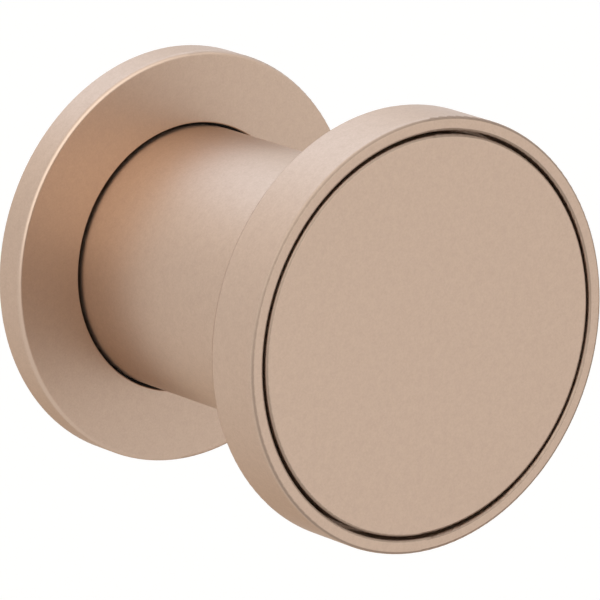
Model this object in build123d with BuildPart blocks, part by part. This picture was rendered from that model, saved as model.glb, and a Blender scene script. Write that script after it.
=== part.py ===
from build123d import *
import os
from math import asin, cos, degrees, pi

os.makedirs("parts", exist_ok=True)

# Wall-mounted shower mixer with one round knob.
# The origin is the centre of the rosette's back face, on the wall plane.
# The knob stands out along -Y and +Z is up. Sizes are in millimetres.
# A depth is a distance out from the wall, so a negative depth lies inside the wall.
# Radii grow outwards from the ceramic discs: cartridge, chamber, neck, sleeve, flange, rosette.

# Clearances: pushed together, running, beside a rubber ring, loose
close_fit = 0.02
running_fit = 0.05
seal_play = 0.02
loose_fit = 0.2
groove_side_play = 0.3

# Ceramic discs
ceramic_r = 13.5
fixed_disc_t = 3.5
moving_disc_t = 3.0
slot_w = 4.0
slot_arc = 16.0
slot_land_arc = 9.0
slot_edge_land = 1.4
outlet_r = 3.5
pocket_r = 2.6
pocket_depth = 1.8
notch_w = 3.0
notch_depth = 1.2
notch_lug_l = 2.0

# Turning range: closed at the start, then cold and mixed water, and hot water at the end
turn_range = 110.0

# Cartridge
base_flange_t = 3.0
base_spigot_l = 3.0
gasket_t = 1.0
gasket_edge = 0.4
gasket_play = 0.3
gasket_land = 1.3
peg_r = 0.9
peg_l = 2.5
peg_inset = 1.6
carrier_t = 4.5
housing_play = 0.4
housing_wall = 3.4
housing_top_t = 3.0
housing_neck_l = 3.5
housing_spline_teeth = 24
spline_tooth_h = 0.5
glide_washer_t = 0.5

# Spindle
tongue_w = 5.0
tongue_l = 20.0
tongue_h = 2.9
collar_inset = 1.5
collar_t = 3.0
spindle_wall = 1.1
spindle_spline_teeth = 20
journal_step = 0.9
journal_end_l = 1.0
journal_groove_depth = 1.0
journal_ring_pitch = 3.0

# Stop ring, retaining nut and adaptor
stop_ring_wall = 2.85
stop_h = 2.0
stop_wall = 2.2
stop_lug_angle = 200.0
stop_lug_arc = 30.0
stop_margin = 1.5
nut_t = 6.0
nut_thread_step = 1.0
nut_wall = 4.6
nut_bore_play = 0.5
nut_slot_w = 3.0
nut_slot_depth = 2.0
nut_slot_count = 4
adaptor_gap = 0.5
adaptor_flange_t = 2.0
adaptor_end_t = 2.0
adaptor_wall = 3.4

# Function block that carries everything
block_depth = 18.0
block_wall = 5.0
chamber_floor = 8.0
chamber_play = 0.3
neck_wall = 4.6
neck_lip = 0.5
neck_groove_depth = 1.3
neck_ring_inset = 6.0
flange_t = 3.0
flange_margin = 1.2

# Waterways: cold at the right, hot at the left, mixed water at the bottom
port_count = 3
port_step = 120.0
port_start_angle = 30.0
waterway_r = 2.6
port_slot_depth = 3.5
socket_r = 5.5
socket_l = 10.0
filter_r = 4.2
filter_l = 5.5
filter_wall = 0.5
filter_hole_r = 0.45
filter_hole_pitch_r = 2.2
filter_hole_count = 6

# Countersunk screws through the flange
screw_count = 4
screw_start_angle = 45.0
screw_r = 2.0
screw_thread_r = 1.8
screw_head_r = 3.8
screw_head_margin = 1.0
screw_l = 12.5
screw_hex = 2.5
screw_hex_depth = 1.2

# Sleeve and its guide bush
neck_play = 0.3
sleeve_wall = 1.5
sleeve_overlap = 1.2
sleeve_chamfer = 0.3
bush_wall = 2.0
bush_l = 8.0
bush_inset = 2.0

# Rosette, the round plate on the wall, and its gasket
sleeve_gap = 0.5
rosette_margin = 5.5
rosette_t = 5.8
rosette_front_wall = 1.4
rosette_skirt_wall = 1.9
rosette_collar_wall = 1.9
rosette_groove_depth = 0.45
rosette_edge_r = 0.7
rosette_hole_edge_r = 0.2
wall_gasket_w = 2.0

# Knob
knob_r = 38.6
knob_projection = 74.5
rim_depth = 11.5
rim_wall = 2.55
rim_edge_r = 0.6
rim_inner_edge_r = 0.5
groove_w = 0.6
groove_depth = 6.1
web_t = 3.6
land_wall = 3.4
hub_wall = 2.7
hub_floor_inset = 5.4
hub_floor_t = 4.0
hub_end_gap = 4.0
boss_wall = 2.3
knob_axial_gap = 0.6
knob_radial_gap = 0.5

# Face disc set into the knob
disc_t = 3.0
disc_edge_r = 0.5
disc_overhang = 0.4
spigot_wall = 2.8
spigot_end_gap = 0.8
spigot_groove_depth = 0.9

# Screw of the knob and its washer
knob_screw_r = 2.5
knob_screw_head_r = 4.25
knob_screw_head_h = 5.0
knob_screw_l = 18.0
knob_screw_hex = 4.0
knob_screw_hex_depth = 2.5
knob_screw_runout = 2.0
knob_washer_r = 5.0
knob_washer_t = 1.0


def plane_at(depth):
    """A sketch plane at a depth, as the user sees it: x to the right, y up, z out of the wall."""
    return Plane(origin=(0, -depth, 0), x_dir=(1, 0, 0), z_dir=(0, -1, 0))


# The half section in which turned pieces are drawn: x is the radius and y is the depth
SECTION = Plane(origin=(0, 0, 0), x_dir=(1, 0, 0), z_dir=(0, 0, -1))


def band(r_in, r_out, back, front, mode=Mode.ADD):
    """A step of a turned piece, in the half section, between two radii and two depths."""
    with Locations((r_in, back)):
        Rectangle(r_out - r_in, front - back, align=(Align.MIN, Align.MIN), mode=mode)


def ring_thickness(r_in, r_out):
    """The thickness of a rubber ring that fills the space between two walls."""
    return r_out - r_in - 2 * seal_play


def ring_section(r_in, r_out, depth):
    """The round section of a rubber ring that lies between two walls."""
    with Locations(((r_in + r_out) / 2, depth)):
        Circle(ring_thickness(r_in, r_out) / 2)


def ring_groove(r_in, r_out, depth, ring_t):
    """The square groove, cut between two radii, that a rubber ring lies in."""
    half_w = (ring_t + groove_side_play) / 2
    band(r_in, r_out, depth - half_w, depth + half_w, Mode.SUBTRACT)


def spline_outline(root_r, teeth, play=0.0):
    """A round with straight spline teeth, larger all round by a play."""
    tooth_w = pi * root_r / teeth
    with BuildSketch(Plane.XY) as outline:
        Circle(root_r + play)
        with PolarLocations(root_r, teeth):
            Rectangle(2 * (spline_tooth_h + play), tooth_w + 2 * play)
    return outline.sketch


def ring_sector(r_in, r_out, start, size):
    """A sector of a ring, in the current sketch, anticlockwise from a start angle."""
    with BuildLine(Plane.XY) as outline:
        outer = CenterArc((0, 0), r_out, start, size)
        inner = CenterArc((0, 0), r_in, start, size)
        Line(outer @ 0, inner @ 0)
        Line(outer @ 1, inner @ 1)
    make_face(outline.edges())


def water_slots(play=0.0):
    """The cold slot, the hot slot and the outlet hole, larger all round by a play."""
    with BuildSketch(Plane.XY) as openings:
        for middle in slot_angles:
            first = middle - slot_arc / 2
            centre_line = Edge.make_circle(slot_pitch_r, start_angle=first, end_angle=first + slot_arc)
            SlotArc(centre_line, slot_w + 2 * play)
        Circle(outlet_r + play)
    return openings.sketch


def port_slots(play=0.0):
    """The runs from the slots and the outlet to the three ports, larger all round by a play."""
    run_starts = [polar(slot_pitch_r, (slot + port) / 2) for slot, port in zip(slot_angles, port_angles)]
    run_starts.append(Vector(0, 0))
    with BuildSketch(Plane.XY) as openings:
        for run_start, angle in zip(run_starts, port_angles):
            SlotArc(Edge.make_line(run_start, polar(port_pitch_r, angle)), 2 * (waterway_r + play))
    return openings.sketch


def polar(radius, angle):
    """A point at a radius and an angle, anticlockwise from the right."""
    return Vector(radius, 0).rotate(Axis.Z, angle)


def front_circles(part):
    """The round edges on the face nearest the user, from the smallest to the largest."""
    return part.edges().filter_by(GeomType.CIRCLE).group_by(Axis.Y)[0].sort_by(SortBy.RADIUS)


# Radii that pieces share
housing_inner_r = ceramic_r + housing_play
housing_r = housing_inner_r + housing_wall
chamber_r = housing_r + chamber_play
nut_bore_r = chamber_r + nut_thread_step
neck_r = chamber_r + neck_wall
sleeve_inner_r = neck_r + neck_play
sleeve_r = sleeve_inner_r + sleeve_wall
hub_r = sleeve_inner_r - bush_wall
rosette_hole_r = sleeve_r + sleeve_gap
screw_pitch_r = neck_r + screw_head_r + screw_head_margin
flange_r = screw_pitch_r + screw_head_r + flange_margin
rosette_r = flange_r + rosette_margin
notch_floor_r = ceramic_r - notch_depth
disc_gasket_r = notch_floor_r - gasket_edge
slot_pitch_r = disc_gasket_r - slot_edge_land - slot_w / 2
peg_pitch_r = housing_r - peg_inset
base_gasket_r = peg_pitch_r - peg_r - gasket_edge
port_pitch_r = base_gasket_r - waterway_r - gasket_land
block_r = port_pitch_r + socket_r + block_wall
spindle_spline_r = knob_screw_r + spindle_wall
spindle_tip_r = spindle_spline_r + spline_tooth_h
journal_r = spindle_tip_r + journal_step
housing_bore_r = journal_r + running_fit
nut_inner_r = nut_bore_r - nut_wall
stop_ring_r = nut_inner_r - nut_bore_play
housing_spline_r = stop_ring_r - stop_ring_wall - spline_tooth_h
adaptor_flat_r = spindle_tip_r + adaptor_wall
disc_r = knob_r - rim_wall - groove_w
land_r = disc_r - disc_overhang
land_inner_r = land_r - land_wall
spigot_r = land_inner_r - loose_fit / 2

# Angles of the cold slot and the hot slot, and of the cold, the hot and the mixed port
slot_split = slot_arc + slot_land_arc + 2 * degrees(asin(slot_w / 2 / slot_pitch_r))
slot_angles = (90 - slot_split / 2, 90 + slot_split / 2)
port_angles = [port_start_angle + port * port_step for port in range(port_count)]

# The pocket of the moving disc stands over the hot slot at the end of the turn
closed_angle = slot_angles[1] - turn_range

# Depths that pieces share, from the wall to the front of the knob
collar_ring_back = flange_t + loose_fit
base_step = chamber_floor + base_flange_t
base_front = base_step + base_spigot_l
moving_disc_back = base_front + fixed_disc_t
carrier_back = moving_disc_back + moving_disc_t
spindle_collar_back = carrier_back + carrier_t
spindle_collar_front = spindle_collar_back + collar_t
housing_ceiling = spindle_collar_front + glide_washer_t
housing_front = housing_ceiling + housing_top_t
housing_neck_front = housing_front + housing_neck_l
neck_front = housing_front + nut_t + neck_lip
stop_front = housing_neck_front + stop_h
journal_front = housing_neck_front + journal_end_l
adaptor_back = stop_front + adaptor_gap
adaptor_step = adaptor_back + adaptor_flange_t
knob_back = knob_projection - rim_depth
cavity_floor = knob_back + web_t
disc_back = knob_projection - disc_t
hub_floor = knob_back - hub_floor_inset
screw_seat = hub_floor + hub_floor_t
screw_head_back = screw_seat + knob_washer_t
spindle_front = hub_floor - adaptor_end_t
sleeve_front = knob_back + sleeve_overlap

# Function block: turned from brass, with the flange on the wall and the chamber for the cartridge
neck_ring_depths = (flange_t + neck_ring_inset, neck_front - neck_ring_inset)
neck_groove_r = neck_r - neck_groove_depth
neck_ring_t = ring_thickness(neck_groove_r, sleeve_inner_r)
filter_back = socket_l - block_depth
screw_head_h = screw_head_r - screw_r

with BuildPart() as function_block:
    with BuildSketch(SECTION):
        band(0, block_r, -block_depth, flange_t)
        band(0, flange_r, 0, flange_t)
        band(0, neck_r, 0, neck_front)
        band(0, chamber_r, chamber_floor, neck_front, Mode.SUBTRACT)
        band(0, nut_bore_r, housing_front - neck_lip, neck_front, Mode.SUBTRACT)
        for ring_depth in neck_ring_depths:
            ring_groove(neck_groove_r, neck_r, ring_depth, neck_ring_t)
    revolve(axis=Axis.Y)
    with BuildSketch(plane_at(-block_depth)):
        with PolarLocations(port_pitch_r, port_count, start_angle=port_start_angle):
            Circle(waterway_r)
    extrude(amount=block_depth + chamber_floor, mode=Mode.SUBTRACT)
    with BuildSketch(plane_at(-block_depth)):
        with PolarLocations(port_pitch_r, port_count, start_angle=port_start_angle):
            Circle(socket_r)
    extrude(amount=socket_l, mode=Mode.SUBTRACT)
    with BuildSketch(plane_at(filter_back)):
        with PolarLocations(port_pitch_r, 2, port_start_angle, 2 * port_step):
            Circle(filter_r + running_fit)
    extrude(amount=filter_l + loose_fit, mode=Mode.SUBTRACT)
    with BuildSketch(plane_at(chamber_floor)):
        with PolarLocations(peg_pitch_r, 2, start_angle=90):
            Circle(peg_r + running_fit)
    extrude(amount=-peg_l - loose_fit, mode=Mode.SUBTRACT)
    with Locations(plane_at(flange_t)):
        with PolarLocations(screw_pitch_r, screw_count, start_angle=screw_start_angle):
            CounterSinkHole(screw_r + loose_fit, screw_head_r + running_fit, depth=2 * flange_t,
                            counter_sink_angle=90)
    outer_edges = function_block.edges().filter_by(GeomType.CIRCLE)
    chamfer(outer_edges.group_by(Axis.Y)[-1].sort_by(SortBy.RADIUS)[-1], sleeve_chamfer)
    chamfer(outer_edges.group_by(Axis.Y)[0].sort_by(SortBy.RADIUS)[-1], sleeve_chamfer)
function_block.part.label = "function_block"
export_step(function_block.part, "parts/function_block.step")

# Fixing screws: four alike, flush with the flange, each thread a round at its mean radius
with BuildPart() as fixing_screws:
    with BuildSketch(plane_at(flange_t - screw_l)):
        with PolarLocations(screw_pitch_r, screw_count, start_angle=screw_start_angle):
            Circle(screw_thread_r)
    extrude(amount=screw_l - flange_t)
    with BuildSketch(plane_at(0)):
        with PolarLocations(screw_pitch_r, screw_count, start_angle=screw_start_angle):
            Circle(screw_r)
    extrude(amount=flange_t)
    with Locations(plane_at(flange_t - screw_head_h / 2)):
        with PolarLocations(screw_pitch_r, screw_count, start_angle=screw_start_angle):
            Cone(screw_r, screw_head_r, screw_head_h)
    with BuildSketch(plane_at(flange_t)):
        with PolarLocations(screw_pitch_r, screw_count, start_angle=screw_start_angle):
            RegularPolygon(screw_hex / 2, 6, major_radius=False)
    extrude(amount=-screw_hex_depth, mode=Mode.SUBTRACT)
fixing_screws.part.label = "fixing_screws"
export_step(fixing_screws.part, "parts/fixing_screws.step")

# Inlet filters: a pierced cup in the cold and in the hot inlet, open to the pipe
with BuildPart() as inlet_filters:
    with BuildSketch(plane_at(filter_back)):
        with PolarLocations(port_pitch_r, 2, port_start_angle, 2 * port_step):
            Circle(filter_r)
    extrude(amount=filter_l)
    with BuildSketch(plane_at(filter_back)):
        with PolarLocations(port_pitch_r, 2, port_start_angle, 2 * port_step):
            Circle(filter_r - filter_wall)
    extrude(amount=filter_l - filter_wall, mode=Mode.SUBTRACT)
    with BuildSketch(plane_at(filter_back)):
        with PolarLocations(port_pitch_r, 2, port_start_angle, 2 * port_step):
            Circle(filter_hole_r)
            with PolarLocations(filter_hole_pitch_r, filter_hole_count):
                Circle(filter_hole_r)
    extrude(amount=filter_l, mode=Mode.SUBTRACT)
inlet_filters.part.label = "inlet_filters"
export_step(inlet_filters.part, "parts/inlet_filters.step")

# Base gasket: one moulded sheet in the back of the cartridge, open at each port
with BuildPart() as base_gasket:
    with BuildSketch(plane_at(chamber_floor)):
        Circle(base_gasket_r)
        add(port_slots(gasket_play), mode=Mode.SUBTRACT)
    extrude(amount=gasket_t)
base_gasket.part.label = "base_gasket"
export_step(base_gasket.part, "parts/base_gasket.step")

# Cartridge base: carries the water from the ports to the slots of the fixed disc
with BuildPart() as cartridge_base:
    with BuildSketch(SECTION):
        band(0, housing_r, chamber_floor, base_step)
        band(0, housing_inner_r - running_fit, chamber_floor, base_front)
        band(0, base_gasket_r + close_fit, chamber_floor, chamber_floor + gasket_t, Mode.SUBTRACT)
        band(0, disc_gasket_r + close_fit, base_front - gasket_t, base_front, Mode.SUBTRACT)
    revolve(axis=Axis.Y)
    with BuildSketch(plane_at(base_front)):
        add(water_slots())
    extrude(amount=chamber_floor + port_slot_depth - base_front - close_fit, mode=Mode.SUBTRACT)
    with BuildSketch(plane_at(chamber_floor)):
        add(port_slots())
    extrude(amount=port_slot_depth, mode=Mode.SUBTRACT)
    with BuildSketch(plane_at(chamber_floor)):
        with PolarLocations(peg_pitch_r, 2, start_angle=90):
            Circle(peg_r)
    extrude(amount=-peg_l)
    with BuildSketch(plane_at(base_front)):
        with PolarLocations((notch_floor_r + ceramic_r) / 2, 2):
            Rectangle(notch_depth - loose_fit, notch_w - loose_fit)
    extrude(amount=notch_lug_l)
cartridge_base.part.label = "cartridge_base"
export_step(cartridge_base.part, "parts/cartridge_base.step")

# Disc gasket: seals the slots between the cartridge base and the fixed disc
with BuildPart() as disc_gasket:
    with BuildSketch(plane_at(base_front - gasket_t)):
        Circle(disc_gasket_r)
        add(water_slots(), mode=Mode.SUBTRACT)
    extrude(amount=gasket_t)
disc_gasket.part.label = "disc_gasket"
export_step(disc_gasket.part, "parts/disc_gasket.step")

# Fixed ceramic disc: the cold slot, the hot slot and the outlet, held by two notches in its rim
with BuildPart() as fixed_ceramic_disc:
    with BuildSketch(plane_at(base_front)):
        Circle(ceramic_r)
        add(water_slots(), mode=Mode.SUBTRACT)
        with PolarLocations(ceramic_r, 2):
            Rectangle(2 * notch_depth, notch_w, mode=Mode.SUBTRACT)
    extrude(amount=fixed_disc_t)
fixed_ceramic_disc.part.label = "fixed_ceramic_disc"
export_step(fixed_ceramic_disc.part, "parts/fixed_ceramic_disc.step")

# Moving ceramic disc: its pocket joins a slot to the outlet, and lies clear of both when closed
with BuildPart() as moving_ceramic_disc:
    with BuildSketch(plane_at(moving_disc_back)):
        Circle(ceramic_r)
        with PolarLocations(ceramic_r, 2, start_angle=closed_angle + 90):
            Rectangle(2 * notch_depth, notch_w, mode=Mode.SUBTRACT)
    extrude(amount=moving_disc_t)
    with BuildSketch(plane_at(moving_disc_back)):
        Circle(outlet_r)
        with PolarLocations(slot_pitch_r, 1, start_angle=closed_angle):
            Circle(pocket_r)
        make_hull()
    extrude(amount=pocket_depth, mode=Mode.SUBTRACT)
moving_ceramic_disc.part.label = "moving_ceramic_disc"
export_step(moving_ceramic_disc.part, "parts/moving_ceramic_disc.step")

# Disc carrier: turned by the spindle's tongue, it turns the moving disc with two lugs
with BuildPart() as disc_carrier:
    with BuildSketch(plane_at(carrier_back)):
        Circle(ceramic_r)
    extrude(amount=carrier_t)
    with BuildSketch(plane_at(carrier_back)):
        with PolarLocations((notch_floor_r + ceramic_r) / 2, 2, start_angle=closed_angle + 90):
            Rectangle(notch_depth - loose_fit, notch_w - loose_fit)
    extrude(amount=-notch_lug_l)
    with BuildSketch(plane_at(spindle_collar_back)):
        Rectangle(tongue_l + loose_fit, tongue_w + 2 * running_fit, rotation=closed_angle)
    extrude(amount=-tongue_h - running_fit, mode=Mode.SUBTRACT)
disc_carrier.part.label = "disc_carrier"
export_step(disc_carrier.part, "parts/disc_carrier.step")

# Spindle: tongue, collar, journal with two grooves, spline, and a tapped hole for the knob's screw
journal_groove_r = journal_r - journal_groove_depth
journal_ring_t = ring_thickness(journal_groove_r, housing_bore_r)
journal_middle = (housing_ceiling + housing_neck_front) / 2
journal_ring_depths = (journal_middle - journal_ring_pitch / 2, journal_middle + journal_ring_pitch / 2)
screw_tip = screw_head_back - knob_screw_l

with BuildPart() as spindle:
    with BuildSketch(SECTION):
        band(0, ceramic_r - collar_inset, spindle_collar_back, spindle_collar_front)
        band(0, journal_r, spindle_collar_back, journal_front)
        for ring_depth in journal_ring_depths:
            ring_groove(journal_groove_r, journal_r, ring_depth, journal_ring_t)
    revolve(axis=Axis.Y)
    with BuildSketch(plane_at(spindle_collar_back)):
        Rectangle(tongue_l, tongue_w, rotation=closed_angle)
    extrude(amount=-tongue_h)
    with BuildSketch(plane_at(journal_front)):
        add(spline_outline(spindle_spline_r, spindle_spline_teeth))
    extrude(amount=spindle_front - journal_front)
    with BuildSketch(plane_at(spindle_front)):
        Circle(knob_screw_r + close_fit)
    extrude(amount=screw_tip - knob_screw_runout - spindle_front, mode=Mode.SUBTRACT)
spindle.part.label = "spindle"
export_step(spindle.part, "parts/spindle.step")

# Spindle rings: two rubber rings that turn in the neck of the housing
with BuildPart() as spindle_o_rings:
    with BuildSketch(SECTION):
        for ring_depth in journal_ring_depths:
            ring_section(journal_groove_r, housing_bore_r, ring_depth)
    revolve(axis=Axis.Y)
spindle_o_rings.part.label = "spindle_o_rings"
export_step(spindle_o_rings.part, "parts/spindle_o_rings.step")

# Glide washer: between the spindle's collar and the top of the housing
with BuildPart() as glide_washer:
    with BuildSketch(plane_at(spindle_collar_front)):
        Circle(ceramic_r - collar_inset)
        Circle(journal_r + loose_fit, mode=Mode.SUBTRACT)
    extrude(amount=glide_washer_t)
glide_washer.part.label = "glide_washer"
export_step(glide_washer.part, "parts/glide_washer.step")

# Cartridge housing: a skirt round the discs, a top, and a splined neck for the stop ring
with BuildPart() as cartridge_housing:
    with BuildSketch(SECTION):
        band(housing_inner_r, housing_r, base_step, housing_front)
        band(housing_bore_r, housing_r, housing_ceiling, housing_front)
        band(housing_bore_r, housing_spline_r, housing_ceiling, housing_neck_front)
    revolve(axis=Axis.Y)
    with BuildSketch(plane_at(housing_front)):
        add(spline_outline(housing_spline_r, housing_spline_teeth))
        Circle(housing_bore_r, mode=Mode.SUBTRACT)
    extrude(amount=housing_neck_l)
cartridge_housing.part.label = "cartridge_housing"
export_step(cartridge_housing.part, "parts/cartridge_housing.step")

# Retaining nut: holds the cartridge down in the chamber, with slots for a pin spanner
with BuildPart() as retaining_nut:
    with BuildSketch(plane_at(housing_front)):
        Circle(nut_bore_r - running_fit)
        Circle(nut_inner_r, mode=Mode.SUBTRACT)
    extrude(amount=nut_t)
    with BuildSketch(plane_at(housing_front + nut_t)):
        with PolarLocations((nut_inner_r + nut_bore_r) / 2, nut_slot_count):
            Rectangle(2 * (nut_bore_r - nut_inner_r), nut_slot_w)
    extrude(amount=-nut_slot_depth, mode=Mode.SUBTRACT)
retaining_nut.part.label = "retaining_nut"
export_step(retaining_nut.part, "parts/retaining_nut.step")

# Temperature limit ring: splined on the housing, its raised arc stops the lug at both ends
stop_start = stop_lug_angle + turn_range + stop_lug_arc / 2 + stop_margin
stop_size = 360 - turn_range - stop_lug_arc - 2 * stop_margin

with BuildPart() as temperature_limit_ring:
    with BuildSketch(plane_at(housing_front)):
        Circle(stop_ring_r)
        add(spline_outline(housing_spline_r, housing_spline_teeth, running_fit), mode=Mode.SUBTRACT)
    extrude(amount=housing_neck_l)
    with BuildSketch(plane_at(housing_neck_front)):
        ring_sector(stop_ring_r - stop_wall, stop_ring_r, stop_start, stop_size)
    extrude(amount=stop_h)
temperature_limit_ring.part.label = "temperature_limit_ring"
export_step(temperature_limit_ring.part, "parts/temperature_limit_ring.step")

# Spline adaptor: carries the stop lug, and fits the spindle's spline to the hub of the knob
with BuildPart() as spline_adaptor:
    with BuildSketch(plane_at(adaptor_back)):
        Circle(stop_ring_r)
    extrude(amount=adaptor_flange_t)
    with BuildSketch(plane_at(adaptor_back)):
        ring_sector(stop_ring_r - stop_wall, stop_ring_r, stop_lug_angle - stop_lug_arc / 2, stop_lug_arc)
    extrude(amount=housing_neck_front + loose_fit - adaptor_back)
    with BuildSketch(plane_at(adaptor_step)):
        RegularPolygon(adaptor_flat_r, 6, major_radius=False)
    extrude(amount=hub_floor - adaptor_step)
    with BuildSketch(plane_at(adaptor_back)):
        add(spline_outline(spindle_spline_r, spindle_spline_teeth, running_fit))
    extrude(amount=spindle_front - adaptor_back, mode=Mode.SUBTRACT)
    with BuildSketch(plane_at(hub_floor)):
        Circle(knob_screw_r + loose_fit)
    extrude(amount=-adaptor_end_t, mode=Mode.SUBTRACT)
spline_adaptor.part.label = "spline_adaptor"
export_step(spline_adaptor.part, "parts/spline_adaptor.step")

# Sleeve: a plain tube from the rosette into the back of the knob
with BuildPart() as sleeve:
    with BuildSketch(SECTION):
        band(sleeve_inner_r, sleeve_r, collar_ring_back, sleeve_front)
    revolve(axis=Axis.Y)
    chamfer(sleeve.edges().filter_by(GeomType.CIRCLE), sleeve_chamfer)
sleeve.part.label = "sleeve"
export_step(sleeve.part, "parts/sleeve.step")

# Sleeve rings: two rubber rings on the neck that hold the sleeve
with BuildPart() as sleeve_o_rings:
    with BuildSketch(SECTION):
        for ring_depth in neck_ring_depths:
            ring_section(neck_groove_r, sleeve_inner_r, ring_depth)
    revolve(axis=Axis.Y)
sleeve_o_rings.part.label = "sleeve_o_rings"
export_step(sleeve_o_rings.part, "parts/sleeve_o_rings.step")

# Guide bush: pressed into the front of the sleeve, it guides the hub of the knob
bush_front = sleeve_front - bush_inset

with BuildPart() as guide_bush:
    with BuildSketch(plane_at(bush_front)):
        Circle(sleeve_inner_r - close_fit)
        Circle(hub_r + running_fit, mode=Mode.SUBTRACT)
    extrude(amount=-bush_l)
guide_bush.part.label = "guide_bush"
export_step(guide_bush.part, "parts/guide_bush.step")

# Rosette: a turned plate, hollow at the back, with a grooved collar round its hole
rosette_groove_r = rosette_hole_r + rosette_groove_depth
rosette_ring_depth = (collar_ring_back + rosette_t) / 2
rosette_ring_t = ring_thickness(sleeve_r, rosette_groove_r)
rosette_inner_r = rosette_r - rosette_skirt_wall

with BuildPart() as rosette:
    with BuildSketch(SECTION):
        band(rosette_hole_r, rosette_r, rosette_t - rosette_front_wall, rosette_t)
        band(rosette_inner_r, rosette_r, 0, rosette_t)
        band(rosette_hole_r, rosette_hole_r + rosette_collar_wall, collar_ring_back, rosette_t)
        ring_groove(rosette_hole_r, rosette_groove_r, rosette_ring_depth, rosette_ring_t)
    revolve(axis=Axis.Y)
    fillet(front_circles(rosette)[-1], rosette_edge_r)
    fillet(front_circles(rosette)[0], rosette_hole_edge_r)
rosette.part.label = "rosette"
export_step(rosette.part, "parts/rosette.step")

# Rosette ring: the rubber ring in the hole of the rosette that grips the sleeve
with BuildPart() as rosette_o_ring:
    with BuildSketch(SECTION):
        ring_section(sleeve_r, rosette_groove_r, rosette_ring_depth)
    revolve(axis=Axis.Y)
rosette_o_ring.part.label = "rosette_o_ring"
export_step(rosette_o_ring.part, "parts/rosette_o_ring.step")

# Rosette gasket: a foam ring between the wall and the inside of the rosette
with BuildPart() as rosette_gasket:
    with BuildSketch(plane_at(0)):
        Circle(rosette_inner_r - close_fit)
        Circle(rosette_inner_r - wall_gasket_w, mode=Mode.SUBTRACT)
    extrude(amount=rosette_t - rosette_front_wall)
rosette_gasket.part.label = "rosette_gasket"
export_step(rosette_gasket.part, "parts/rosette_gasket.step")

# Knob: turned from bar, with a thin rim, a deep groove behind its edge and a hub inside the sleeve
hub_back = neck_front + hub_end_gap
boss_r = (adaptor_flat_r + running_fit) / cos(pi / 6) + boss_wall
screw_recess_r = knob_washer_r + loose_fit

with BuildPart() as knob_body:
    with BuildSketch(SECTION):
        band(0, knob_r, knob_back, cavity_floor)
        band(land_inner_r, knob_r, knob_back, disc_back)
        band(knob_r - rim_wall, knob_r, knob_back, knob_projection)
        band(land_r, knob_r - rim_wall, knob_projection - groove_depth, knob_projection, Mode.SUBTRACT)
        band(hub_r - hub_wall, hub_r, hub_back, knob_back)
        band(0, boss_r, adaptor_step + loose_fit, knob_back)
        band(hub_r, sleeve_r + knob_radial_gap, knob_back, sleeve_front + knob_axial_gap, Mode.SUBTRACT)
    revolve(axis=Axis.Y)
    with BuildSketch(plane_at(hub_floor)):
        RegularPolygon(adaptor_flat_r + running_fit, 6, major_radius=False)
    extrude(amount=adaptor_step - hub_floor, mode=Mode.SUBTRACT)
    with BuildSketch(plane_at(hub_floor)):
        Circle(knob_screw_r + loose_fit)
    extrude(amount=hub_floor_t, mode=Mode.SUBTRACT)
    with BuildSketch(plane_at(screw_seat)):
        Circle(screw_recess_r)
    extrude(amount=cavity_floor - screw_seat, mode=Mode.SUBTRACT)
    fillet(front_circles(knob_body)[-1], rim_edge_r)
    fillet(front_circles(knob_body)[0], rim_inner_edge_r)
    circles = knob_body.edges().filter_by(GeomType.CIRCLE)
    rim_circles = circles.filter_by(lambda edge: edge.radius > knob_r - rim_edge_r / 2)
    fillet(rim_circles.sort_by(Axis.Y)[-1], rim_edge_r)
knob_body.part.label = "knob_body"
export_step(knob_body.part, "parts/knob_body.step")

# Face disc: flush with the rim, on a spigot that pushes into the knob
spigot_back = cavity_floor + spigot_end_gap
spigot_ring_depth = (spigot_back + disc_back) / 2
spigot_groove_r = spigot_r - spigot_groove_depth
spigot_ring_t = ring_thickness(spigot_groove_r, land_inner_r)

with BuildPart() as face_disc:
    with BuildSketch(SECTION):
        band(0, disc_r, disc_back, knob_projection)
        band(spigot_r - spigot_wall, spigot_r, spigot_back, knob_projection)
        ring_groove(spigot_groove_r, spigot_r, spigot_ring_depth, spigot_ring_t)
    revolve(axis=Axis.Y)
    fillet(front_circles(face_disc)[-1], disc_edge_r)
face_disc.part.label = "face_disc"
export_step(face_disc.part, "parts/face_disc.step")

# Face disc ring: the rubber ring that holds the face disc in the knob
with BuildPart() as face_disc_o_ring:
    with BuildSketch(SECTION):
        ring_section(spigot_groove_r, land_inner_r, spigot_ring_depth)
    revolve(axis=Axis.Y)
face_disc_o_ring.part.label = "face_disc_o_ring"
export_step(face_disc_o_ring.part, "parts/face_disc_o_ring.step")

# Screw of the knob: clamps the hub and the adaptor on the end of the spindle
with BuildPart() as knob_screw:
    with BuildSketch(SECTION):
        band(0, knob_screw_head_r, screw_head_back, screw_head_back + knob_screw_head_h)
        band(0, knob_screw_r, screw_tip, screw_head_back)
    revolve(axis=Axis.Y)
    chamfer(front_circles(knob_screw)[-1], sleeve_chamfer)
    with BuildSketch(plane_at(screw_head_back + knob_screw_head_h)):
        RegularPolygon(knob_screw_hex / 2, 6, major_radius=False)
    extrude(amount=-knob_screw_hex_depth, mode=Mode.SUBTRACT)
knob_screw.part.label = "knob_screw"
export_step(knob_screw.part, "parts/knob_screw.step")

# Washer under the head of the knob's screw
with BuildPart() as knob_screw_washer:
    with BuildSketch(plane_at(screw_seat)):
        Circle(knob_washer_r)
        Circle(knob_screw_r + loose_fit, mode=Mode.SUBTRACT)
    extrude(amount=knob_washer_t)
knob_screw_washer.part.label = "knob_screw_washer"
export_step(knob_screw_washer.part, "parts/knob_screw_washer.step")
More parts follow.
